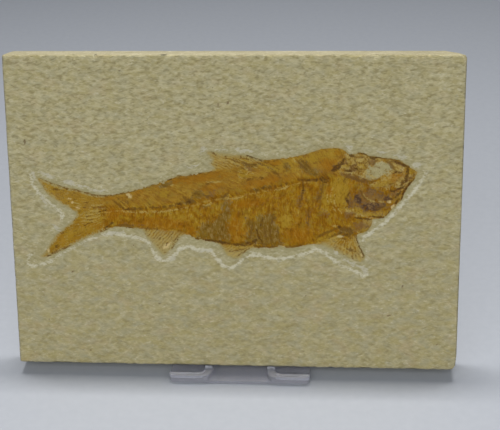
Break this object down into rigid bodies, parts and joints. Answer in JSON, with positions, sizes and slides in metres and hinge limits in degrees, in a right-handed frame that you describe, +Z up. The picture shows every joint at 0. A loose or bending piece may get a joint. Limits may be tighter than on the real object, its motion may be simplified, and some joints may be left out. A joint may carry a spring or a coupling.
{
  "type": "fossil fish slab",
  "caption": "Rectangular sawn limestone slab with a fossil fish in low relief in a prepared hollow of its split face, leaning on a small clear plastic easel",
  "frame": {"origin": "on the surface that the easel stands on, at the middle of the whole object's footprint", "axes": "+X along the fish towards its snout, -Y the way the slab's face looks, +Z up"},
  "size_m": [0.15, 0.046, 0.1071],
  "materials": {
    "limestone": "split and sawn, matt",
    "fossil_skin_and_bone": "matt, slightly waxy on bone",
    "clear_plastic": "clear, polished"
  },
  "bodies": {
    "root": {"limestone_slab": "limestone", "fossil_fish": "fossil_skin_and_bone", "display_stand": "clear_plastic"}
  },
  "joints": []
}
